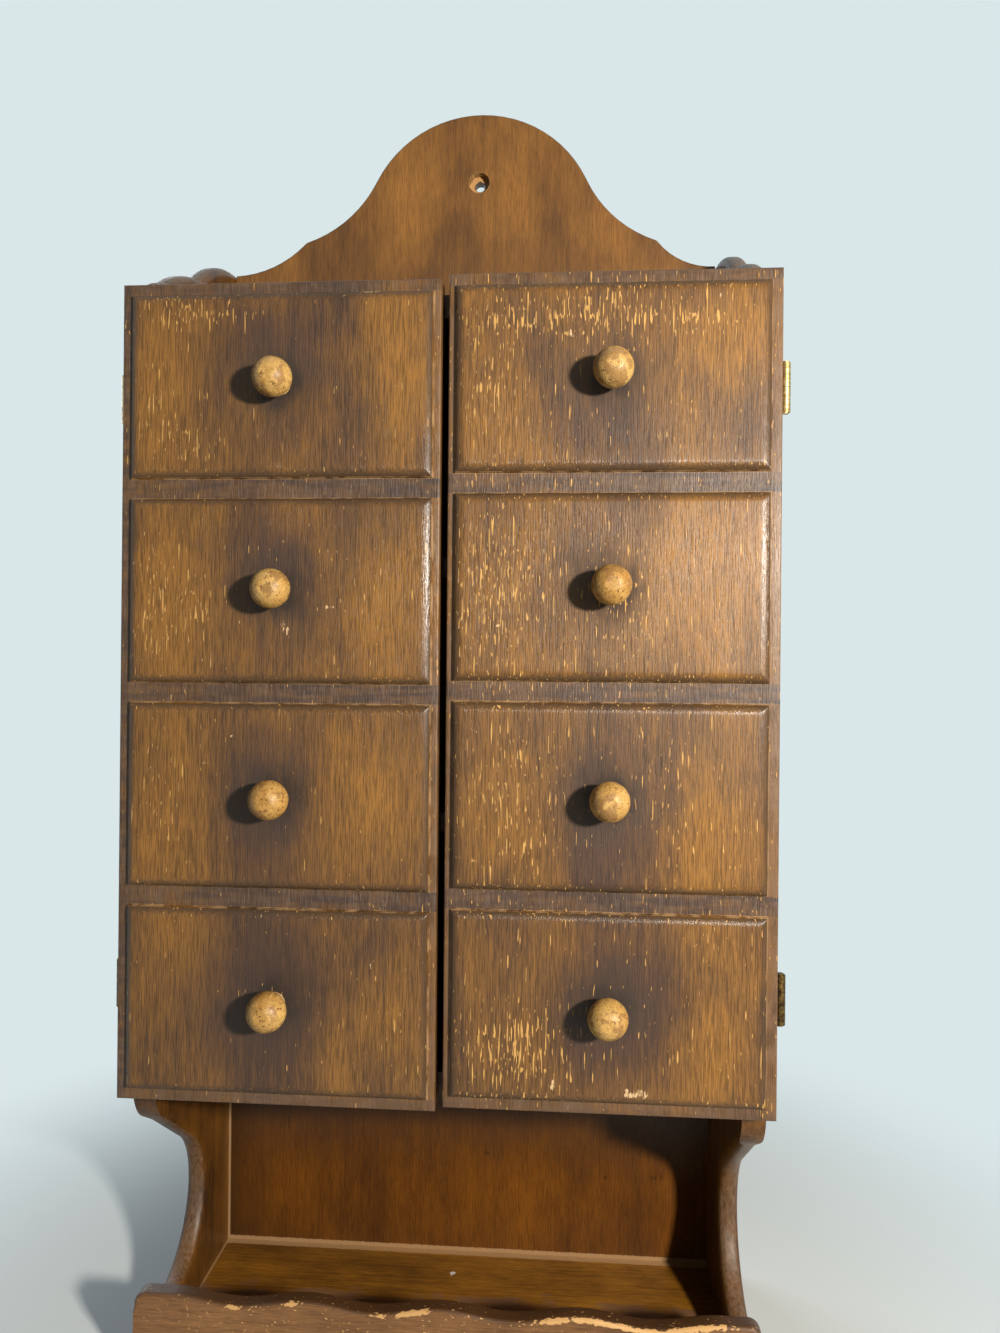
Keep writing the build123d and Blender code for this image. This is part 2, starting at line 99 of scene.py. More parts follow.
def rounded_board(outline, radius, thickness, steps=6):
    """The rim of a board as rings of points (ring, point, 3): each ring is the outline moved inwards by
    radius (1 - sin a) and along the thickness by radius (1 - cos a), for a from 0 to 90 degrees, and the
    same again on the other face, which may have a radius of its own. The first and last rings lie
    flat_rim inside the edges of the two flat faces, so that these faces shade as flat ones."""
    flat_rim = 0.3
    tangent = np.roll(outline, -1, axis=0) - np.roll(outline, 1, axis=0)
    tangent = softened(tangent / np.linalg.norm(tangent, axis=1, keepdims=True), 2)
    tangent /= np.linalg.norm(tangent, axis=1, keepdims=True)
    inward = np.stack([-tangent[:, 1], tangent[:, 0]], -1)
    angle = np.linspace(0, np.pi / 2, steps)[:, None]
    near, far = radius if np.ndim(radius) == 2 else (radius, radius)
    still = np.zeros((1, 1))
    inset = [near + flat_rim + still, near * (1 - np.sin(angle)), far * (1 - np.sin(angle[::-1])),
             far + flat_rim + still]
    depth = [still * near, near * (1 - np.cos(angle)), thickness - far * (1 - np.cos(angle[::-1])),
             thickness + still * far]
    inset, depth = np.concatenate(inset), np.concatenate(depth)
    flat = outline + inset[..., None] * inward
    return np.concatenate([flat, depth[..., None]], -1)


def closed_faces(rings, points):
    """Four-sided faces between neighbouring rings of a closed band, and the two end faces."""
    here = np.arange(rings * points).reshape(rings, points)
    beside = np.roll(here, -1, axis=1)
    quads = np.stack([here[:-1], beside[:-1], beside[1:], here[1:]], -1).reshape(-1, 4)
    return quads.tolist() + [here[0][::-1].tolist(), here[-1].tolist()]


def make_piece(name, points, faces, sharp_angle=35):
    """A closed mesh in metres from points in millimetres: coincident points are merged, faces are turned
    outwards, and edges over sharp_angle degrees stay crisp."""
    mesh = bpy.data.meshes.new(name)
    mesh.from_pydata((np.asarray(points).reshape(-1, 3) * mm).tolist(), [], faces)
    shell = bmesh.new()
    shell.from_mesh(mesh)
    bmesh.ops.remove_doubles(shell, verts=shell.verts, dist=1e-6)
    bmesh.ops.dissolve_degenerate(shell, edges=shell.edges, dist=1e-6)
    bmesh.ops.recalc_face_normals(shell, faces=shell.faces)
    shell.to_mesh(mesh)
    shell.free()
    mesh.polygons.foreach_set("use_smooth", np.ones(len(mesh.polygons), bool))
    mesh.set_sharp_from_angle(angle=np.radians(sharp_angle))
    piece = bpy.data.objects.new(name, mesh)
    bpy.context.scene.collection.objects.link(piece)
    return piece


def mark(piece, name, values):
    """Stores one number per vertex of a piece, for its material to read."""
    layer = piece.data.attributes.new(name, "FLOAT", "POINT")
    layer.data.foreach_set("value", np.asarray(values, np.float32).ravel())


def places(piece):
    """The vertices of a piece in millimetres, one row each."""
    flat = np.empty(3 * len(piece.data.vertices), np.float32)
    piece.data.vertices.foreach_get("co", flat)
    return flat.reshape(-1, 3).astype(float) / mm


def linear(colour):
    """The linear RGBA of an sRGB hex colour."""
    srgb = np.array([int(colour[i:i + 2], 16) for i in (0, 2, 4)]) / 255
    rgb = np.where(srgb <= 0.04045, srgb / 12.92, ((srgb + 0.055) / 1.055) ** 2.4)
    return (*rgb.tolist(), 1.0)


def add(tree, kind, sockets=(), out=0, **settings):
    """Adds a node with its settings, sets or links its sockets, and returns one of its outputs, if any."""
    node = tree.nodes.new("ShaderNode" + kind)
    for key, value in settings.items():
        setattr(node, key, value)
    for key, value in dict(sockets).items():
        if isinstance(value, bpy.types.NodeSocket):
            tree.links.new(value, node.inputs[key])
        else:
            node.inputs[key].default_value = value
    return node.outputs[out] if node.outputs else None


def new_material(name):
    """An empty material and its node tree."""
    material = bpy.data.materials.new(name)
    material.use_nodes = True
    material.node_tree.nodes.clear()
    return material, material.node_tree


def along_grain(tree, place, grain, width, length, shift=0.0):
    """Object coordinates counted in steps, in millimetres, of width across the grain and length along it."""
    scale = [1000 / width] * 3
    scale["XYZ".index(grain)] = 1000 / length
    return add(tree, "Mapping", {"Vector": place, "Scale": scale, "Location": (shift, shift * 2, shift * 3)})


def stained_wood(name, dark, light, grain, gloss=0.36, relief=0.05, figure=0.55, pores=0.66, thinned=None):
    """Softwood, planed, stained and varnished by hand. dark and light are the stain where it is thick and
    thin, grain is the axis that the fibres run along, gloss the roughness of the varnish, relief the depth
    of the open grain in millimetres, figure how strongly the growth rings show, pores how bright the open
    grain stays, and thinned an attribute that thins the stain in places. Returns the material, its tree,
    and the sockets of its object coordinates, colour, height in millimetres and roughness."""
    # Pine's fibres are finer than a pixel here, so they are drawn about half a millimetre wide.
    tone_width, tone_length = 24.0, 55.0
    streak_width, streak_length = 1.7, 75.0
    fibre_width, fibre_length = 0.42, 9.0
    material, tree = new_material(name)
    place = add(tree, "TexCoord", out=3)
    tone_place = along_grain(tree, place, grain, tone_width, tone_length, 3.1)
    streak_place = along_grain(tree, place, grain, streak_width, streak_length, 7.7)
    fibre_place = along_grain(tree, place, grain, fibre_width, fibre_length, 1.3)
    tone = add(tree, "TexNoise", {"Vector": tone_place, "Scale": 1.0, "Detail": 4.0, "Roughness": 0.6})
    streak = add(tree, "TexNoise", {"Vector": streak_place, "Scale": 1.0, "Detail": 4.0, "Roughness": 0.6})
    fibre = add(tree, "TexNoise", {"Vector": fibre_place, "Scale": 1.0, "Detail": 2.0, "Roughness": 0.7})
    thin = add(tree, "Math", {0: streak, 1: figure, 2: tone}, operation="MULTIPLY_ADD")
    if thinned:
        spread = add(tree, "Attribute", out=2, attribute_name=thinned)
        thin = add(tree, "Math", {0: spread, 1: 0.32, 2: thin}, operation="MULTIPLY_ADD")
    middle = 0.5 + figure / 2
    thin = add(tree, "MapRange", {"Value": thin, "From Min": middle - 0.22, "From Max": middle + 0.26})
    colour = add(tree, "Mix", {0: thin, 6: linear(dark), 7: linear(light)}, 2, data_type="RGBA")
    pore = add(tree, "MapRange", {"Value": fibre, "From Min": 0.36, "From Max": 0.60, "To Min": pores,
                                  "To Max": 1.06})
    colour = add(tree, "Mix", {0: 1.0, 6: colour, 7: pore}, 2, data_type="RGBA", blend_type="MULTIPLY")
    height = add(tree, "MapRange", {"Value": fibre, "From Min": 0.35, "From Max": 0.6, "To Min": -relief,
                                    "To Max": 0.0})
    rough = add(tree, "MapRange", {"Value": tone, "From Min": 0.3, "From Max": 0.7, "To Min": gloss + 0.08,
                                   "To Max": gloss - 0.05})
    return material, tree, place, colour, height, rough


def varnish(tree, colour, height, rough):
    """Ends a wood's tree: the height in millimetres bends the light, under a thin coat of old varnish."""
    bump = add(tree, "Bump", {"Height": height, "Distance": mm, "Strength": 1.0})
    shader = add(tree, "BsdfPrincipled", {"Base Color": colour, "Roughness": rough, "Normal": bump,
                                          "IOR": 1.5, "Specular IOR Level": 0.32, "Coat Weight": 0.05,
                                          "Coat Roughness": 0.34})
    add(tree, "OutputMaterial", {"Surface": shader})


# Satin varnish over dark stain. The rounded rims are painted greyer in patches, partly rubbed wood and partly
# a painted sheen standing for the pale surroundings that they reflect.
side_wood, tree, place, colour, height, rough = stained_wood("stained_side_pine", "35200c", "744a18", "Z")
rim = add(tree, "Attribute", out=2, attribute_name="rim")
patchy = add(tree, "TexNoise", {"Vector": along_grain(tree, place, "Z", 1.2, 4.0, 2.2), "Scale": 1.0,
                                "Detail": 3.0})
# Rubbed wood and a painted sheen grey the rims in patches.
rubbed_and_sheen = add(tree, "Math", {0: rim, 1: patchy}, operation="MULTIPLY")
rubbed_and_sheen = add(tree, "MapRange", {"Value": rubbed_and_sheen, "From Min": 0.3, "From Max": 0.7, "To Max": 0.4})
colour = add(tree, "Mix", {0: rubbed_and_sheen, 6: colour, 7: linear("8b7763")}, 2, data_type="RGBA")
varnish(tree, colour, height, rough)

# The outline runs from the brow under the doors down the scoop, round the foot and up over the lobes. Its
# rounding is full along the scoop and the lobes and dies away where the boards and the lip meet it.
lobe_ends = [(case_front, deck_top + side_front_rise)]
lobe_ends += [(case_front + y, deck_top + z) for y, z, _ in side_lobes]
brow = arc((case_front, brow_top), -scoop_steepness, scoop_steepness - scoop_slope, brow_radius)
slope = np.radians(scoop_slope)
ramp_drop = brow[-1][1] - foot_height - scoop_radius * (1 + np.cos(slope))
ramp_end = brow[-1] + ramp_drop * np.array([1 / np.tan(slope), -1])
scoop = arc(ramp_end, -scoop_slope, scoop_slope - 180, scoop_radius, 80)
corners = [brow, scoop, [(lip_back, foot_height), (lip_back, 0), (case_back, 0)]]
side_path = even(np.concatenate(corners + [bow(b, a, -lobe[2]) for a, b, lobe in
                 list(zip(lobe_ends, lobe_ends[1:], side_lobes))[::-1]]), side_step)
Y, Z = side_path.T
scalloped = np.clip((Z - deck_top - side_front_rise) / 4, 0, 1) * np.clip((case_back - 2 - Y) / 4, 0, 1)
scooped = (Z < brow_top) * np.clip((brow_top - Z) / 6, 0, 1) * np.clip((Z - foot_height + 2) / 2, 0, 1)
scooped *= np.clip((Y - lip_back - 1) / 3 + (Z > 60), 0, 1) * (Y < case_back - 5)
side_radius = softened(side_round * np.maximum(scalloped, scooped), 3)
blend = (softened(np.maximum(scalloped, scooped), 3) > 0.5)[:, None]
side_path = np.where(blend, softened(side_path, 1), side_path)

for side, hand in (("left", -1), ("right", 1)):
    rings = rounded_board(side_path, side_radius, side_thickness + filler_skin)
    inner = case_half_width - side_thickness
    points = np.stack([hand * (inner + rings[..., 2]), rings[..., 0], rings[..., 1]], -1)
    board = make_piece(side + "_side_board", points, closed_faces(*rings.shape[:2]))
    X, Y, Z = places(board).T
    edge = np.minimum(abs(abs(X) - inner), abs(abs(X) - case_half_width))
    mark(board, "rim", np.clip(edge / rim_reach, 0, 1) * ((Z > deck_top) | (Z < brow_top)))
    board.data.materials.append(side_wood)
    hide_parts(side + "_side")
    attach(board, "cabinet")

# ---- Boards between the sides ----
# Thin softwood boards housed in the sides: the open top shelf, the bottom of the closed part, two inner
# shelves and the tray floor. All were brushed with the same stain and varnished, with the grain across.

# The plain stain of the inside: darker and duller than the front, with the streaks running across.
inner_wood, tree, place, colour, height, rough = stained_wood("stained_shelf_pine", "33200f", "694420", "X",
                                                              gloss=0.4)
varnish(tree, colour, height, rough)
for name in ("top_board", "bottom_board", "lower_shelf", "upper_shelf"):
    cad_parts[name].material_slots[0].material = inner_wood

# The glossiest and most amber board, with tan glue squeezed out at two joints, scuffs towards the lip and
# one white nick.
tray_wood, tree, place, colour, height, rough = stained_wood("varnished_tray_floor", "5c3a10", "a06c20", "X",
                                                             gloss=0.3)
glue_width, floor_rear, floor_end = 2.6, 54.8, 121.5
scuff_start, scuff_full = 46.0, 16.0
nick_spot, nick_radius, nick_edge = (-3.0, 37.0, 8.5), 2.6, 0.4
axes = add(tree, "SeparateXYZ", {"Vector": place}).node
ragged = add(tree, "TexNoise", {"Vector": along_grain(tree, place, "X", 0.8, 3.0, 4.4), "Scale": 1.0,
                                "Detail": 3.0})
rear = add(tree, "Math", {0: ragged, 1: 1.2 * mm, 2: axes.outputs["Y"]}, operation="MULTIPLY_ADD")
rear = add(tree, "MapRange", {"Value": rear, "From Min": (floor_rear - glue_width - 0.6) * mm,
                              "From Max": (floor_rear - glue_width - 0.2) * mm, "To Max": 0.75})
left = add(tree, "MapRange", {"Value": axes.outputs["X"], "From Min": (0.9 - floor_end) * mm,
                              "From Max": (1.4 - floor_end) * mm, "To Min": 0.6, "To Max": 0.0})
joint = add(tree, "Math", {0: rear, 1: left}, operation="MAXIMUM")
colour = add(tree, "Mix", {0: joint, 6: colour, 7: linear("b08e66")}, 2, data_type="RGBA")
cloud = add(tree, "TexNoise", {"Vector": along_grain(tree, place, "X", 7.0, 15.0, 2.9), "Scale": 1.0,
                               "Detail": 6.0})
scuff = add(tree, "MapRange", {"Value": axes.outputs["Y"], "From Min": scuff_start * mm,
                              "From Max": scuff_full * mm})
scuff = add(tree, "Math", {0: scuff, 1: cloud}, operation="MULTIPLY")
scuff = add(tree, "MapRange", {"Value": scuff, "From Min": 0.41, "From Max": 0.55, "To Max": 0.6})
colour = add(tree, "Mix", {0: scuff, 6: colour, 7: linear("6f5648")}, 2, data_type="RGBA")
nick = add(tree, "VectorMath", {0: place, 1: [at * mm for at in nick_spot]}, 1, operation="DISTANCE")
nick = add(tree, "Math", {0: ragged, 1: 3.0 * mm, 2: nick}, operation="MULTIPLY_ADD")
nick = add(tree, "MapRange", {"Value": nick, "From Min": nick_radius * mm,
                              "From Max": (nick_radius + nick_edge) * mm, "To Min": 0.9, "To Max": 0.0})
colour = add(tree, "Mix", {0: nick, 6: colour, 7: linear("d8d6d0")}, 2, data_type="RGBA")
varnish(tree, colour, height, rough)
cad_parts["tray_floor"].material_slots[0].material = tray_wood

# ---- Back board and crest ----
# One full-height board behind everything, sawn to a dome with hollow shoulders at the top and drilled for
# a wall screw. The grain runs upwards under an olive-brown stain, which is more amber in the sheltered bay,
# where painted shade darkens the top and the left corner and a painted glow stands for light thrown up by the
# tray floor. The hole is torn to bare wood, its bore painted dark as shade, and the joints in the bay show a
# line of old glue.

hole_x, hole_z, recess_radius, bore_radius = 3.6, 548.4, 5.2, 2.5
bay_ceiling, glue_height = 127.5, 10.4
glow_height, glow_stretch, glow_soft, glow_core, glow_reach = 40.0, 1.9, 56.57, 30.0, 105.0
gloom_start, gloom_full = -90.0, -121.0
top_shade_low, top_shade_high = 45.0, 78.0
shade_full, shade_end = 25.0, 70.0

# Olive-brown in soft clouds above; in the bay amber, with painted shade at its top and left corner and a
# painted glow of light from the tray floor; pale torn wood round the hole.
crest_wood, tree, place, colour, height, rough = stained_wood("stained_back_board", "5f3d1a", "9a6a31", "Z",
                                                              gloss=0.4, figure=0.35)
axes = add(tree, "SeparateXYZ", {"Vector": place}).node
ragged = add(tree, "TexNoise", {"Vector": along_grain(tree, place, "Z", 0.9, 2.5, 6.1), "Scale": 1.0,
                                "Detail": 4.0})
# On the board's front alone, the bay has its own stain, knots, painted shade and painted glow.
sheltered = add(tree, "MapRange", {"Value": axes.outputs["Z"], "From Min": (bay_ceiling + 1) * mm,
                                   "From Max": (bay_ceiling + 3) * mm, "To Min": 1.0, "To Max": 0.0})
facing = add(tree, "MapRange", {"Value": axes.outputs["Y"], "From Min": (floor_rear + 1) * mm,
                                "From Max": (floor_rear + 2) * mm, "To Min": 1.0, "To Max": 0.0})
sheltered = add(tree, "Math", {0: sheltered, 1: facing}, operation="MULTIPLY")
low = add(tree, "MapRange", {"Value": axes.outputs["Z"], "From Min": (deck_top + shade_full) * mm,
                             "From Max": (deck_top + shade_end) * mm, "To Min": 0.4, "To Max": 0.0})
low = add(tree, "Math", {0: low, 1: sheltered}, operation="SUBTRACT", use_clamp=True)
colour = add(tree, "Mix", {0: low, 6: colour, 7: linear("4b3015")}, 2, data_type="RGBA")
knots = add(tree, "TexNoise", {"Vector": along_grain(tree, place, "Z", 5.0, 9.0, 8.3), "Scale": 1.0,
                               "Detail": 2.0})
knots = add(tree, "MapRange", {"Value": knots, "From Min": 0.73, "From Max": 0.78, "To Max": 0.5})
knots = add(tree, "Math", {0: knots, 1: sheltered}, operation="MULTIPLY")
colour = add(tree, "Mix", {0: knots, 6: colour, 7: linear("2c1a0c")}, 2, data_type="RGBA")
# Painted shade darkens the bay towards its top, under the doors.
painted_top_shade = add(tree, "MapRange", {"Value": axes.outputs["Z"], "From Min": top_shade_low * mm,
                              "From Max": top_shade_high * mm, "To Max": 0.5})
painted_top_shade = add(tree, "Math", {0: painted_top_shade, 1: sheltered}, operation="MULTIPLY")
colour = add(tree, "Mix", {0: painted_top_shade, 6: colour, 7: linear("3d2a1b")}, 2, data_type="RGBA")
# The painted glow, for light thrown up by the tray floor, is a level band, strongest glow_height up: it
# fades with the root of glow_soft squared + (glow_stretch times the height from there) squared.
glow = add(tree, "VectorMath", {0: place, 1: (0, 0, glow_stretch)}, operation="MULTIPLY")
band = (0, glow_soft * mm, glow_stretch * glow_height * mm)
glow = add(tree, "VectorMath", {0: glow, 1: band}, 1, operation="DISTANCE")
glow = add(tree, "MapRange", {"Value": glow, "From Min": glow_core * mm, "From Max": glow_reach * mm,
                              "To Min": 1.0, "To Max": 0.0})
amber = add(tree, "Mix", {0: glow, 6: linear("b3a27c"), 7: linear("ddc58b")}, 2, data_type="RGBA")
colour = add(tree, "Mix", {0: sheltered, 6: colour, 7: amber}, 2, data_type="RGBA", blend_type="MULTIPLY")
# Painted shade darkens the bay towards its left corner.
gloom = add(tree, "MapRange", {"Value": axes.outputs["X"], "From Min": gloom_start * mm,
                               "From Max": gloom_full * mm, "To Max": 0.8})
gloom = add(tree, "Math", {0: gloom, 1: sheltered}, operation="MULTIPLY")
colour = add(tree, "Mix", {0: gloom, 6: colour, 7: linear("33210f")}, 2, data_type="RGBA")
line = add(tree, "Math", {0: ragged, 1: -1.0 * mm, 2: axes.outputs["Z"]}, operation="MULTIPLY_ADD")
line = add(tree, "MapRange", {"Value": line, "From Min": (glue_height - 0.7) * mm,
                              "From Max": (glue_height - 0.3) * mm, "To Min": 0.7, "To Max": 0.0})
corner = add(tree, "MapRange", {"Value": axes.outputs["X"], "From Min": (0.8 - floor_end) * mm,
                                "From Max": (1.4 - floor_end) * mm, "To Min": 0.8, "To Max": 0.0})
corner = add(tree, "Math", {0: corner, 1: sheltered}, operation="MULTIPLY")
line = add(tree, "Math", {0: line, 1: corner}, operation="MAXIMUM")
line = add(tree, "Math", {0: line, 1: facing}, operation="MULTIPLY")
colour = add(tree, "Mix", {0: line, 6: colour, 7: linear("b08e66")}, 2, data_type="RGBA")
# The sawn edges are painted darker than the planed faces, as shade.
faced = add(tree, "SeparateXYZ", {"Vector": add(tree, "TexCoord", out=1)}, 1)
faced = add(tree, "Math", {0: faced}, operation="ABSOLUTE")
edge_shade = add(tree, "MapRange", {"Value": faced, "From Min": 0.98, "From Max": 0.7, "To Max": 0.65})
colour = add(tree, "Mix", {0: edge_shade, 6: colour, 7: linear("4a2f17")}, 2, data_type="RGBA")
# Round the screw hole the wood is torn bare, and the bore is painted dark as shade.
flat = add(tree, "CombineXYZ", {"X": axes.outputs["X"], "Z": axes.outputs["Z"]})
away = add(tree, "VectorMath", {0: flat, 1: (hole_x * mm, 0, hole_z * mm)}, 1, operation="DISTANCE")
away = add(tree, "Math", {0: ragged, 1: 1.6 * mm, 2: away}, operation="MULTIPLY_ADD")
torn = add(tree, "MapRange", {"Value": away, "From Min": (recess_radius + 0.7) * mm,
                              "From Max": (recess_radius + 1.0) * mm, "To Min": 1.0, "To Max": 0.0})
colour = add(tree, "Mix", {0: torn, 6: colour, 7: linear("b48c58")}, 2, data_type="RGBA")
bore_shade = add(tree, "MapRange", {"Value": away, "From Min": (bore_radius + 0.8) * mm,
                               "From Max": (bore_radius + 1.2) * mm, "To Min": 0.9, "To Max": 0.0})
colour = add(tree, "Mix", {0: bore_shade, 6: colour, 7: linear("2b1c12")}, 2, data_type="RGBA")
varnish(tree, colour, height, rough)
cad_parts["back_board"].material_slots[0].material = crest_wood

# ---- Tray lip ----
# A strip across the front of the tray with a jigsawn wavy top, its arrises sanded round and since chipped
# down to bare wood by what was taken out of the tray.

lip_front, lip_thickness, lip_height = -30.9, 8.0, 36.0
wave_pitch, wave_height, lip_corner = 57.5, 3.2, 5.0
lip_round, lip_last_hump, lip_step = 1.7, 115.0, 0.7
chip_drop, chip_spread, chip_reach, brown_depth = 0.9, 0.75, 1.4, 1.6
chip_places = ((-86, 6, 0.9), (-63, 3, 0.8), (-14, 13, 0.7), (53, 15, 0.9), (92, 20, 1.3))

along = np.linspace(-lip_last_hump, lip_last_hump, 300)
wave = np.stack([along, lip_height + wave_height / 2 * np.cos(2 * np.pi * along / wave_pitch)], -1)
hump = lip_height + wave_height / 2
flat_end = case_half_width - lip_corner
corners = [arc((flat_end, hump), 0, -90, lip_corner, 12), [(case_half_width, 0), (-case_half_width, 0)],
           arc((-case_half_width, hump - lip_corner), 90, -90, lip_corner, 12)]
lip_path = even(np.concatenate([wave, *corners])[::-1], lip_step)
X, Z = lip_path.T
on_top = np.clip((Z - hump + lip_corner + wave_height) / 2, 0, 1)
chips = np.random.default_rng(4).normal(size=len(X))
chips = softened(chips, 3) / softened(chips, 3).std()
# Each worn place is (middle, half width, depth) in millimetres, with a bell-shaped depth along the lip.
wear = sum(depth * np.exp(-((X - middle) / half) ** 2) for middle, half, depth in chip_places)
chips = wear * np.clip(0.75 + 0.4 * chips, 0, 1.3) * on_top * (abs(X) < flat_end)
lip_radius = np.stack([on_top * lip_round + 0.5 * chips, on_top * lip_round])
rings = rounded_board(lip_path, lip_radius, lip_thickness)
points = np.stack([rings[..., 0], lip_front + rings[..., 2], rings[..., 1]], -1)
lip = make_piece("wavy_tray_lip", points, closed_faces(*rings.shape[:2]))
# The points along the wavy top, from left to right, give how far each vertex lies below it.
order = np.argsort(lip_path[:, 0] - 1000 * (on_top < 1))
top_edge = order[-int((on_top == 1).sum()):]
X, Y, Z = places(lip).T
drop = np.interp(X, lip_path[top_edge, 0], lip_path[top_edge, 1]) - Z
front_edge = np.exp(-((drop - chip_drop) / chip_spread) ** 2) * (Y < lip_front + chip_reach)
mark(lip, "browned", 0.8 * np.clip(1 - drop / brown_depth, 0, 1))
mark(lip, "chipped", front_edge * np.clip(1.4 * np.interp(X, lip_path[top_edge, 0], chips[top_edge]), 0, 1))
# Dull brown with a browned top edge, broken along its front by chips of bare tan wood.
lip_wood, tree, place, colour, height, rough = stained_wood("stained_lip_pine", "5f3e21", "946a41", "X",
                                                            gloss=0.4)
browned = add(tree, "Attribute", out=2, attribute_name="browned")
colour = add(tree, "Mix", {0: browned, 6: colour, 7: linear("3a2413")}, 2, data_type="RGBA")
chip = add(tree, "Attribute", out=2, attribute_name="chipped")
ragged = add(tree, "TexNoise", {"Vector": along_grain(tree, place, "X", 1.0, 1.8, 6.1), "Scale": 1.0,
                                "Detail": 4.0})
bare = add(tree, "Math", {0: chip, 1: 0.6, 2: ragged}, operation="MULTIPLY_ADD")
bare = add(tree, "MapRange", {"Value": bare, "From Min": 0.66, "From Max": 0.72})
colour = add(tree, "Mix", {0: bare, 6: colour, 7: linear("c79c64")}, 2, data_type="RGBA")
varnish(tree, colour, height, rough)
lip.data.materials.append(lip_wood)
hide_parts("tray_lip")
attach(lip, "cabinet")

# ---- Doors ----
# Two boards with four raised fields each, cut by a router so that they pass for drawer fronts. The stain
# lies thick in the dividers and along the fields' edges, which also carry painted shade on their slopes and a
# painted highlight on their steps; hands have darkened the wood round the knobs, and age has cracked the
# varnish into short upright dashes of bare wood.

door_width, door_height, door_thickness = 131.0, 332.5, 12.7
door_front, door_sill, door_gap, right_door_lift = -47.4, 126.0, 3.0, 1.8
door_edge_round = 0.8
hidden_depth = 40.0  # read as far inside a field, so that the back has no border
field_raise, field_slope, field_drop = 3.0, 4.4, 2.6
field_width, field_end_margin, field_spacing, field_count = 123.9, 5.0, 8.0, 4
field_margins = {"left": 4.3, "right": 2.8}
knob_out_from_middle = 66.25
field_height = (door_height - 2 * field_end_margin - (field_count - 1) * field_spacing) / field_count
field_starts = field_end_margin + (field_height + field_spacing) * np.arange(field_count)
arris = 0.02
border_mark = 0.4


def field_stations(start, length, step=2.4):
    """Places along one side of a raised field: close together where its edge turns over, by
    round (1 - cos a), step apart between, and just outside its border."""
    turning = arris + field_slope * (1 - np.cos(np.linspace(0, np.pi / 2, 10)))
    middle = np.linspace(turning[-1], length - turning[-1], int(length / step))
    before = np.array([-border_mark, 0])
    return start + np.concatenate([before, turning, middle[1:-1], length - turning[::-1],
                                   length - before[::-1]])


def edge_stations(length):
    """Places on the two rounded ends of a door's side."""
    turning = door_edge_round * (1 - np.cos(np.linspace(0, np.pi / 2, 5)))
    return np.concatenate([turning, length - turning])


def door_relief(across, upward, margin):
    """How far each point of a door's face lies behind the fields' faces, and how far inside the nearest
    field's border it is (negative outside), when the fields start margin from the door's left edge. The
    border turns over in a quarter ellipse, field_slope wide and field_drop deep, above a small step."""
    rim = np.minimum(np.minimum(across, door_width - across), np.minimum(upward, door_height - upward))
    rim = door_edge_round - np.clip(rim, 0, door_edge_round)
    behind = field_raise + door_edge_round - np.sqrt(door_edge_round ** 2 - rim ** 2)
    inside_side = np.minimum(across - margin, margin + field_width - across)
    starts = field_starts.reshape(-1, 1, 1)
    inside_end = np.minimum(upward - starts, starts + field_height - upward).max(0)
    inside = np.minimum(inside_side, inside_end)
    turned = 1 - np.clip((inside - arris) / field_slope, 0, 1)
    raised = field_raise - field_drop + field_drop * np.sqrt(1 - turned ** 2)
    return behind - np.where(inside > arris / 2, raised, 0), inside


def blobs(across, upward, spots):
    """Soft round or oval marks, each (across, upward, half width, half height, strength) in millimetres:
    the sum of strength exp(-(x / half width)^2 - (z / half height)^2)."""
    return sum(s * np.exp(-((across - x) / w) ** 2 - ((upward - z) / h) ** 2) for x, z, w, h, s in spots)


# Satin, streaky and warm in the fields, purplish black and crackled in the dividers, flecked with bare
# wood. The pores of real pine are too fine to show at this size, so the streaks are drawn coarser.
door_wood, tree, place, colour, height, rough = stained_wood("stained_door_board", "4e3726", "8d632e", "Z",
                                                             gloss=0.4, figure=0.5, pores=0.45,
                                                             thinned="tone")
inside = add(tree, "Attribute", out=2, attribute_name="inside")
divider = add(tree, "Attribute", out=2, attribute_name="divider")
grime = add(tree, "Attribute", out=2, attribute_name="grime")
worn = add(tree, "Attribute", out=2, attribute_name="worn")
bare = add(tree, "Attribute", out=2, attribute_name="bare")
fine = add(tree, "TexNoise", {"Vector": along_grain(tree, place, "Z", 1.1, 3.2, 3.3), "Scale": 1.0,
                              "Detail": 4.0})
patchy = add(tree, "TexNoise", {"Vector": along_grain(tree, place, "Z", 5.0, 9.0, 2.7), "Scale": 1.0,
                                "Detail": 4.0})
crack = add(tree, "TexNoise", {"Vector": along_grain(tree, place, "Z", 0.38, 7.0, 8.8), "Scale": 1.0,
                               "Detail": 1.0})
dash = add(tree, "TexNoise", {"Vector": along_grain(tree, place, "Z", 0.8, 9.0, 5.2), "Scale": 1.0,
                              "Detail": 0.5})
tick = add(tree, "TexNoise", {"Vector": along_grain(tree, place, "Z", 0.7, 3.4, 1.9), "Scale": 1.0,
                              "Detail": 0.5})
tone = add(tree, "Attribute", out=2, attribute_name="tone")
# Handling has darkened patches of the fields, and the slopes of their borders are painted darker all round,
# as gathered stain and painted shade.
shade = add(tree, "MapRange", {"Value": tone, "From Min": 0.0, "From Max": -1.0, "To Max": 0.6})
colour = add(tree, "Mix", {0: shade, 6: colour, 7: linear("45332c")}, 2, data_type="RGBA")
# Gathered stain and painted shade on the border slopes.
slope = add(tree, "MapRange", {"Value": inside, "From Min": 0.2, "From Max": 0.6})
level = add(tree, "MapRange", {"Value": inside, "From Min": 1.2, "From Max": 3.4, "To Min": 0.7,
                               "To Max": 0.0})
slope = add(tree, "Math", {0: slope, 1: level}, operation="MULTIPLY")
colour = add(tree, "Mix", {0: slope, 6: colour, 7: linear("3d2c18")}, 2, data_type="RGBA")
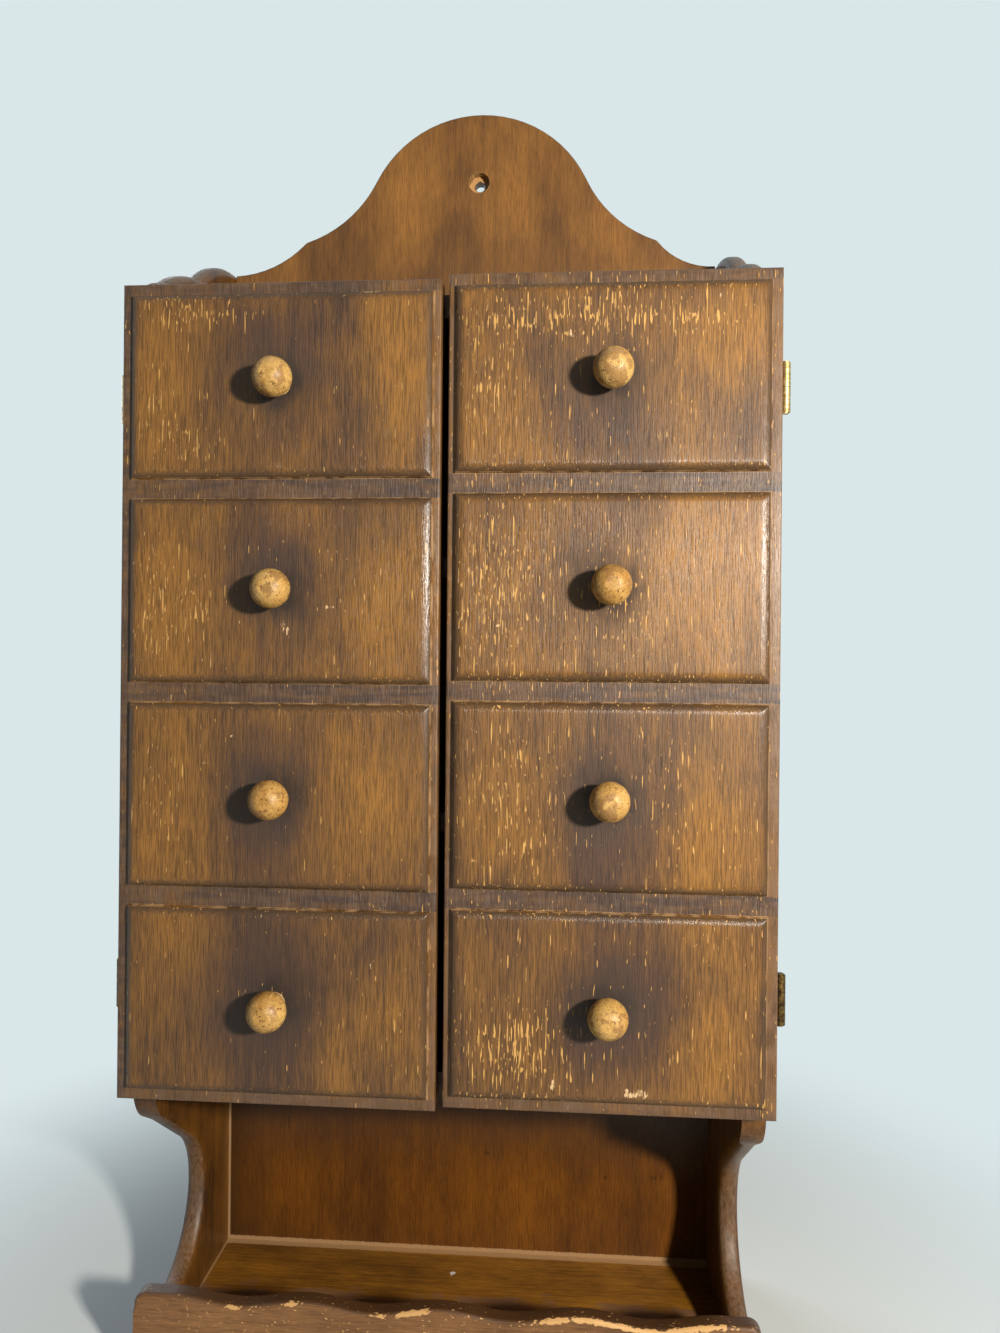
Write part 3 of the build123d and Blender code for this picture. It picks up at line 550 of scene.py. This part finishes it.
# The flat rim round the fields is greyer, and the dividers are near black, crackled and chalky.
outside = add(tree, "MapRange", {"Value": inside, "From Min": -0.15, "From Max": 0.05, "To Min": 1.0,
                                 "To Max": 0.0})
rim = add(tree, "MapRange", {"Value": patchy, "From Min": 0.4, "From Max": 0.62, "To Min": 0.15,
                             "To Max": 0.85})
rim = add(tree, "Math", {0: rim, 1: outside}, operation="MULTIPLY")
colour = add(tree, "Mix", {0: rim, 6: colour, 7: linear("6e543d")}, 2, data_type="RGBA")
smear = add(tree, "TexNoise", {"Vector": along_grain(tree, place, "X", 3.0, 16.0, 4.1), "Scale": 1.0,
                               "Detail": 4.0})
thick = add(tree, "MapRange", {"Value": smear, "From Min": 0.38, "From Max": 0.6, "To Min": 0.95,
                               "To Max": 0.4})
thick = add(tree, "Math", {0: thick, 1: divider}, operation="MULTIPLY")
colour = add(tree, "Mix", {0: thick, 6: colour, 7: linear("3b2e29")}, 2, data_type="RGBA")
crackled = add(tree, "MapRange", {"Value": crack, "From Min": 0.58, "From Max": 0.64, "To Max": 0.45})
crackled = add(tree, "Math", {0: crackled, 1: divider}, operation="MULTIPLY")
colour = add(tree, "Mix", {0: crackled, 6: colour, 7: linear("211814")}, 2, data_type="RGBA")
chalky = add(tree, "MapRange", {"Value": crack, "From Min": 0.42, "From Max": 0.37, "To Max": 0.25})
chalky = add(tree, "Math", {0: chalky, 1: divider}, operation="MULTIPLY")
colour = add(tree, "Mix", {0: chalky, 6: colour, 7: linear("857a72")}, 2, data_type="RGBA")
# Grime rings the knobs, and a light line follows each border: rubbed wood, and a painted highlight on the
# border's step.
grimy = add(tree, "MapRange", {"Value": patchy, "From Min": 0.35, "From Max": 0.65, "To Min": 1.15,
                               "To Max": 0.6})
grimy = add(tree, "Math", {0: grimy, 1: grime}, operation="MULTIPLY", use_clamp=True)
colour = add(tree, "Mix", {0: grimy, 6: colour, 7: linear("30261f")}, 2, data_type="RGBA")
near = add(tree, "MapRange", {"Value": inside, "From Min": -0.3, "From Max": -0.05})
far = add(tree, "MapRange", {"Value": inside, "From Min": 0.2, "From Max": 0.55, "To Min": 1.0,
                             "To Max": 0.0})
line = add(tree, "Math", {0: near, 1: far}, operation="MULTIPLY")
rubbed_highlight_line = add(tree, "MapRange", {"Value": patchy, "From Min": 0.42, "From Max": 0.58, "To Max": 0.8})
line = add(tree, "Math", {0: line, 1: rubbed_highlight_line}, operation="MULTIPLY")
colour = add(tree, "Mix", {0: line, 6: colour, 7: linear("a98860")}, 2, data_type="RGBA")
# Upright dashes of bare wood show where the varnish has cracked, and larger scars where it was knocked off.
long_fleck = add(tree, "Math", {0: worn, 1: 0.13, 2: dash}, operation="MULTIPLY_ADD")
long_fleck = add(tree, "MapRange", {"Value": long_fleck, "From Min": 0.735, "From Max": 0.755,
                                    "To Max": 0.95})
short_fleck = add(tree, "Math", {0: worn, 1: 0.14, 2: tick}, operation="MULTIPLY_ADD")
short_fleck = add(tree, "MapRange", {"Value": short_fleck, "From Min": 0.74, "From Max": 0.765,
                                     "To Max": 0.8})
fleck = add(tree, "Math", {0: long_fleck, 1: short_fleck}, operation="MAXIMUM")
colour = add(tree, "Mix", {0: fleck, 6: colour, 7: linear("c99c58")}, 2, data_type="RGBA")
scar = add(tree, "Math", {0: fine, 1: bare}, operation="ADD")
scar = add(tree, "MapRange", {"Value": scar, "From Min": 0.93, "From Max": 1.0, "To Max": 0.9})
colour = add(tree, "Mix", {0: scar, 6: colour, 7: linear("d0b083")}, 2, data_type="RGBA")
# Scars and dashes are sunk a little, and the borders are rubbed smoother than the grime.
height = add(tree, "Math", {0: scar, 1: -0.15, 2: height}, operation="MULTIPLY_ADD")
height = add(tree, "Math", {0: fleck, 1: -0.05, 2: height}, operation="MULTIPLY_ADD")
height = add(tree, "Math", {0: fine, 1: 0.06, 2: height}, operation="MULTIPLY_ADD")
rubbed_and_sheen = add(tree, "MapRange", {"Value": inside, "From Min": 4.4, "From Max": 3.4, "To Max": 0.14})
rubbed_and_sheen = add(tree, "Math", {0: rubbed_and_sheen, 1: outside}, operation="SUBTRACT", use_clamp=True)
rough = add(tree, "Math", {0: rough, 1: rubbed_and_sheen}, operation="SUBTRACT")
rough = add(tree, "Math", {0: grimy, 1: 0.35, 2: rough}, operation="MULTIPLY_ADD")
varnish(tree, colour, height, rough)

# Marks on the fields in millimetres from the lowest field's lower left corner, each (across, upward, half
# width, half height, strength): thin stain, darkened wood, clusters of dashes, and scars.
amber = {"left": [(16, 284, 16, 30, 1.1), (110, 284, 9, 30, 0.8), (16, 202, 20, 34, 1.2),
                  (104, 196, 16, 28, 1.0), (16, 119, 19, 32, 0.7), (107, 117, 12, 28, 0.7),
                  (11, 35, 12, 30, 0.5), (112, 30, 10, 26, 0.4)],
         "right": [(105, 300, 18, 16, 1.2), (17, 267, 14, 18, 0.5), (99, 202, 22, 34, 1.2),
                   (18, 205, 12, 30, 0.4), (20, 119, 16, 30, 0.4), (104, 119, 16, 30, 0.8),
                   (20, 35, 14, 26, 0.4), (105, 25, 14, 24, 0.7)]}
dark = {"left": [(58, 305, 18, 14, 0.8), (72, 288, 16, 10, 0.4), (61, 265, 14, 12, 0.4),
                 (60, 219, 12, 16, 0.8), (58, 119, 16, 36, 0.8), (57, 35, 22, 30, 0.9)],
        "right": [(61, 267, 24, 14, 0.5), (57, 222, 14, 12, 0.4), (63, 105, 24, 26, 0.7),
                  (65, 37, 20, 28, 1.0)]}
flecked = {"left": [(24, 314, 24, 7, 1.2), (12, 274, 12, 18, 0.8), (30, 262, 10, 10, 0.8),
                    (12, 196, 12, 26, 0.9), (30, 196, 7, 16, 0.8), (98, 192, 14, 20, 0.3),
                    (14, 116, 12, 26, 0.6), (110, 30, 10, 20, 0.4)],
           "right": [(50, 309, 40, 10, 0.9), (100, 306, 16, 8, 0.6), (14, 285, 10, 26, 0.6),
                     (17, 202, 16, 32, 0.9), (66, 196, 22, 30, 0.6), (27, 19, 20, 16, 1.1),
                     (25, 117, 18, 30, 0.6), (88, 119, 16, 26, 0.4)]}
scars = {"left": [(66, 188, 4.5, 4.0, 0.5), (46, 190, 3.5, 0.9, 0.6), (33, 133, 1.6, 1.4, 0.7),
                  (44, 144, 1.5, 1.5, 0.65), (83, 196, 2.6, 1.0, 0.65), (43, 289, 0.8, 3, 0.6),
                  (101, 53, 0.8, 4, 0.5), (3, 214, 1.6, 3.0, 0.5), (98, 322, 5.0, 0.9, 0.6)],
         "right": [(73, 5, 6.5, 3.2, 0.62), (46, 302, 1.6, 3.4, 0.7), (93, 303, 1.6, 2, 0.65),
                   (74, 306, 5, 0.8, 0.55), (104, 315, 0.9, 3.5, 0.6), (18, 187, 1.8, 1.0, 0.65),
                   (33, 13, 1, 5, 0.65), (41, 7, 1.4, 3, 0.6), (42, 236, 1.2, 1.6, 0.6),
                   (19, 17, 0.8, 5, 0.6), (89, 137, 0.8, 3, 0.5)]}
unworn = {"left": 0.3, "right": 0.1}
grime_radius, grime_strength, skin = 12.5, 1.35, 0.3
foot_strip, head_strip, outer_rim = 0.45, 0.75, 0.75
# Each door's side, the sign of its places across, and how much higher it hangs.
hangings = (("left", -1, 0.0), ("right", 1, right_door_lift))

for side, hand, lift in hangings:
    low_x = door_gap / 2 if hand > 0 else -door_gap / 2 - door_width
    low_z = door_sill + lift
    margin = field_margins[side]
    across = np.unique(np.concatenate([edge_stations(door_width), field_stations(margin, field_width)]))
    upward = [field_stations(start, field_height) for start in field_starts]
    upward = np.unique(np.concatenate([edge_stations(door_height), *upward]))
    A, U = np.meshgrid(across, upward)
    behind, inside = door_relief(A, U, margin)
    face = np.stack([low_x + A, door_front + behind, low_z + U], -1)
    rows, columns = A.shape
    here = np.arange(rows * columns).reshape(rows, columns)
    quads = np.stack([here[:-1, :-1], here[:-1, 1:], here[1:, 1:], here[1:, :-1]], -1).reshape(-1, 4)
    loop = np.concatenate([here[0, :-1], here[:-1, -1], here[-1, :0:-1], here[:0:-1, 0]])
    rim_y = door_front + field_raise + door_edge_round
    rear_rims = (rim_y + skin, door_front + door_thickness)
    rear = [face.reshape(-1, 3)[loop] * (1, 0, 1) + (0, y, 0) for y in rear_rims]
    loops = np.stack([loop] + [rows * columns + i * len(loop) + np.arange(len(loop)) for i in (0, 1)])
    ahead = np.roll(loops, -1, axis=1)
    edges = np.stack([loops[:-1], loops[1:], ahead[1:], ahead[:-1]], -1).reshape(-1, 4)
    faces = quads.tolist() + edges.tolist() + [loops[-1].tolist()]
    board = make_piece(side + "_door_board", np.concatenate([face.reshape(-1, 3), *rear]), faces)
    X, Y, Z = places(board).T
    A, U = X - low_x, Z - low_z
    front = Y < rim_y + skin / 2
    inside = door_relief(A, U, margin)[1].ravel()
    ends = np.minimum(U[:, None] - field_starts, field_starts + field_height - U[:, None]).max(1)
    mark(board, "inside", np.where(front, inside, hidden_depth))
    # The strips at the door's foot and head are less dark than its dividers, and the left door's outer rim
    # is dark like them.
    strip = np.where(U > door_height - field_end_margin, head_strip, 1.0)
    strip = np.where(U < field_end_margin, foot_strip, strip)
    thick = strip * np.clip(-ends / border_mark, 0, 1) * (0.7 + 0.3 * A / door_width)
    mark(board, "divider", front * np.maximum(thick, outer_rim * (A < margin) * (hand < 0)))
    A, U = A - margin, U - field_end_margin
    mark(board, "tone", front * (blobs(A, U, amber[side]) - blobs(A, U, dark[side])))
    rings = [(field_width / 2, start - field_end_margin + field_height / 2, grime_radius, grime_radius,
              grime_strength) for start in field_starts]
    mark(board, "grime", front * blobs(A, U, rings))
    mark(board, "worn", np.where(front, blobs(A, U, flecked[side]) - unworn[side], -1.0))
    mark(board, "bare", front * blobs(A, U, scars[side]))
    board.data.materials.append(door_wood)
    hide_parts(side + "_door")
    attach(board, side + "_door")

# ---- Knobs ----
# Eight small balls turned from pale hardwood with a short neck and foot, drawn to the doors by a screw
# from behind. Handling has left them honey-coloured, freckled and stained.

knob_radius, knob_out, knob_reach = 7.8, 9.6, 16.9
knob_neck, knob_foot, knob_foot_height = 3.4, 4.6, 1.2
speck_size, stain_size = 1.3, 6.0


def turned_knob(centre, segments=72, rings=48):
    """A solid turned about the Y axis: the ball's profile is radius sin a at knob_out - radius cos a,
    never narrower than the neck, which flares to the foot, and the front is rubbed a little flat."""
    a = np.linspace(0.42, np.pi, rings)
    out = np.minimum(knob_out - knob_radius * np.cos(a), knob_reach)
    ball = knob_radius * np.sin(a)
    flare = knob_neck + (knob_foot - knob_neck) * np.linspace(1, 0, 8) ** 2
    foot_out = np.linspace(0, knob_foot_height, 8)
    profile_r = np.concatenate([[0], flare, np.maximum(ball, np.where(a < 1, knob_neck, 0))])
    profile_out = np.concatenate([[0], foot_out, np.maximum(out, knob_foot_height)])
    turn = np.linspace(0, 2 * np.pi, segments, endpoint=False)
    x = centre[0] + profile_r[:, None] * np.cos(turn)
    z = centre[1] + profile_r[:, None] * np.sin(turn)
    return np.stack([x, np.broadcast_to(door_front - profile_out[:, None], x.shape), z], -1)


# Honey-coloured bare birch, polished by fingers, with brown specks and soft stains.
knob_wood, tree, place, colour, height, rough = stained_wood("turned_knob_birch", "a87b3a", "d8b36c", "Y",
                                                             gloss=0.3)
speck = add(tree, "TexNoise", {"Vector": place, "Scale": 1000 / speck_size, "Detail": 3.0})
speck = add(tree, "MapRange", {"Value": speck, "From Min": 0.6, "From Max": 0.66, "To Max": 0.85})
colour = add(tree, "Mix", {0: speck, 6: colour, 7: linear("6b4520")}, 2, data_type="RGBA")
stain = add(tree, "TexNoise", {"Vector": place, "Scale": 1000 / stain_size, "Detail": 3.0})
stain = add(tree, "MapRange", {"Value": stain, "From Min": 0.53, "From Max": 0.58, "To Max": 0.65})
colour = add(tree, "Mix", {0: stain, 6: colour, 7: linear("7f5a33")}, 2, data_type="RGBA")
varnish(tree, colour, height, rough)

for side, hand, lift in hangings:
    for number, start in enumerate(field_starts[::-1], start=1):
        centre = (hand * knob_out_from_middle, door_sill + lift + start + field_height / 2)
        rings = turned_knob(centre)
        knob = make_piece(f"{side}_ball_knob_{number}", rings, closed_faces(*rings.shape[:2]))
        knob.data.materials.append(knob_wood)
        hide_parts(f"{side}_knob_{number}")
        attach(knob, side + "_door")

# ---- Hinges, catches and fasteners ----
# Small stamped brass butt hinges, bright above and browned below, held by slotted brass screws. Steel
# wire nails and screws, and moulded catches with a ferrite magnet, are hidden inside.

# Each metal or plastic is mottled by handling: its clean and dull colours, roughness, metallic part, pieces.
metals = {
    "bright_rolled_brass": ("d8bd86", "8d7442", 0.3, 1.0, ["_upper_hinge_case_leaf", "_upper_hinge_door_leaf",
                                                           "_upper_hinge_pin"]),
    "browned_rolled_brass": ("7a6136", "32261a", 0.42, 1.0, ["_lower_hinge_case_leaf",
                                                             "_lower_hinge_door_leaf", "_lower_hinge_pin"]),
    "tarnished_brass_screw": ("b08a4c", "5f4724", 0.38, 1.0, ["_case_hinge_screws", "_door_hinge_screws"]),
    "dull_steel": ("8f8d88", "55504a", 0.45, 1.0, ["_knob_screws", "_side_nails", "_catch_screws",
                                                   "_strike_screw"]),
    "zinc_plated_steel": ("b9b8b4", "8c8b88", 0.35, 1.0, ["_strike"]),
    "brown_moulded_plastic": ("5a3f2b", "46301f", 0.55, 0.0, ["_catch"]),
    "grey_ferrite": ("3a3a3c", "2a2a2b", 0.6, 0.0, ["_catch_magnet"]),
}
mottle_size = 1.6
for name, (clean, dull, gloss, metallic, endings) in metals.items():
    finish, tree = new_material(name)
    place = add(tree, "TexCoord", out=3)
    mottle = add(tree, "TexNoise", {"Vector": place, "Scale": 1000 / mottle_size, "Detail": 3.0})
    spread = add(tree, "MapRange", {"Value": mottle, "From Min": 0.35, "From Max": 0.65})
    colour = add(tree, "Mix", {0: spread, 6: linear(clean), 7: linear(dull)}, 2, data_type="RGBA")
    rough = add(tree, "MapRange", {"Value": mottle, "From Min": 0.3, "From Max": 0.7, "To Min": gloss,
                                   "To Max": gloss + 0.15})
    bump = add(tree, "Bump", {"Height": mottle, "Distance": 0.02 * mm})
    shader = add(tree, "BsdfPrincipled", {"Base Color": colour, "Metallic": metallic, "Roughness": rough,
                                          "Normal": bump})
    add(tree, "OutputMaterial", {"Surface": shader})
    for ending in endings:
        for side in ("left", "right"):
            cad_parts[side + ending].material_slots[0].material = finish
    if name == "dull_steel":
        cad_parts["tray_lip_nails"].material_slots[0].material = finish

# ---- Light, floor and camera ----
# A pale floor that fades into the background, a small near lamp from the front right as in the photograph, a
# soft one from behind, and the camera where the photograph was taken from.

floor_half = 3.0
floor_mesh = bpy.data.meshes.new("floor")
floor_corners = [(x * floor_half, y * floor_half, 0) for x, y in ((-1, -1), (1, -1), (1, 1), (-1, 1))]
floor_mesh.from_pydata(floor_corners, [], [(0, 1, 2, 3)])
floor = bpy.data.objects.new("floor", floor_mesh)
bpy.context.scene.collection.objects.link(floor)
# Matt pale paint that turns clear away from the object, so that only the shadow tells of a floor.
floor_paint, tree = new_material("pale_matt_floor")
fade_start, fade_end = 0.15, 0.42
paint = add(tree, "BsdfPrincipled", {"Base Color": linear("d8e0e0"), "Roughness": 0.8})
out = add(tree, "VectorMath", {0: add(tree, "TexCoord", out=3)}, 1, operation="LENGTH")
faded = add(tree, "MapRange", {"Value": out, "From Min": fade_start, "From Max": fade_end},
            interpolation_type="SMOOTHSTEP")
clear = add(tree, "BsdfTransparent")
shader = add(tree, "MixShader", {0: faded, 1: paint, 2: clear})
add(tree, "OutputMaterial", {"Surface": shader})
floor_mesh.materials.append(floor_paint)

world = bpy.data.worlds.new("studio")
world.use_nodes = True
world.node_tree.nodes.clear()
tree = world.node_tree
rays = add(tree, "LightPath").node
# Camera, glossy and transmitted rays see the pale background; the object is filled by a much weaker one.
fill = add(tree, "Background", {"Color": linear("dfe6ea"), "Strength": 0.09})
shown = add(tree, "Background", {"Color": linear("dae7e9"), "Strength": 1.0})
seen = add(tree, "Math", {0: rays.outputs["Is Camera Ray"], 1: rays.outputs["Is Glossy Ray"]},
           operation="MAXIMUM")
seen = add(tree, "Math", {0: seen, 1: rays.outputs["Is Transmission Ray"]}, operation="MAXIMUM")
both = add(tree, "MixShader", {0: seen, 1: fill, 2: shown})
add(tree, "OutputWorld", {"Surface": both})
bpy.context.scene.world = world

lamps = {"window": ((0.47, -0.60, 0.42), 0.06, 10.4, "fff6ea"),
         "rear_fill": ((-1.3, 1.2, 1.1), 1.2, 14.0, "eef4ff")}
for name, (spot, size, power, tint) in lamps.items():
    lamp = bpy.data.lights.new(name, "AREA")
    lamp.size, lamp.energy, lamp.color = size, power, linear(tint)[:3]
    holder = bpy.data.objects.new(name, lamp)
    away = np.array(spot) - np.array((0.0, 0.0, 0.3))
    back = away / np.linalg.norm(away)
    right = np.cross((0, 0, 1), back)
    right /= np.linalg.norm(right)
    turn = np.stack([right, np.cross(back, right), back], -1)
    holder.matrix_world = Matrix([[*turn[i], spot[i]] for i in range(3)] + [[0, 0, 0, 1]])
    holder.visible_camera = False
    bpy.context.scene.collection.objects.link(holder)

camera_spot = (0.0486, -0.4102, 0.3037)
camera_yaw, camera_pitch, camera_roll = -0.0696, 0.0005, 0.0089
photo_height, focal_pixels, sensor = 1333, 924, 36.0
forward = np.array([np.sin(camera_yaw) * np.cos(camera_pitch), np.cos(camera_yaw) * np.cos(camera_pitch),
                    np.sin(camera_pitch)])
level = np.array([np.cos(camera_yaw), -np.sin(camera_yaw), 0])
upright = np.cross(level, forward)
right = level * np.cos(camera_roll) + upright * np.sin(camera_roll)
up = upright * np.cos(camera_roll) - level * np.sin(camera_roll)
camera_data = bpy.data.cameras.new("camera")
camera_data.sensor_width = sensor
camera_data.lens = focal_pixels * sensor / photo_height
camera_data.clip_start = 0.01
camera = bpy.data.objects.new("camera", camera_data)
turn = np.stack([right, up, -forward], -1)
camera.matrix_world = Matrix([[*turn[i], camera_spot[i]] for i in range(3)] + [[0, 0, 0, 1]])
bpy.context.scene.collection.objects.link(camera)
bpy.context.scene.camera = camera
bpy.context.scene.view_settings.view_transform = "Standard"

bpy.context.view_layer.update()
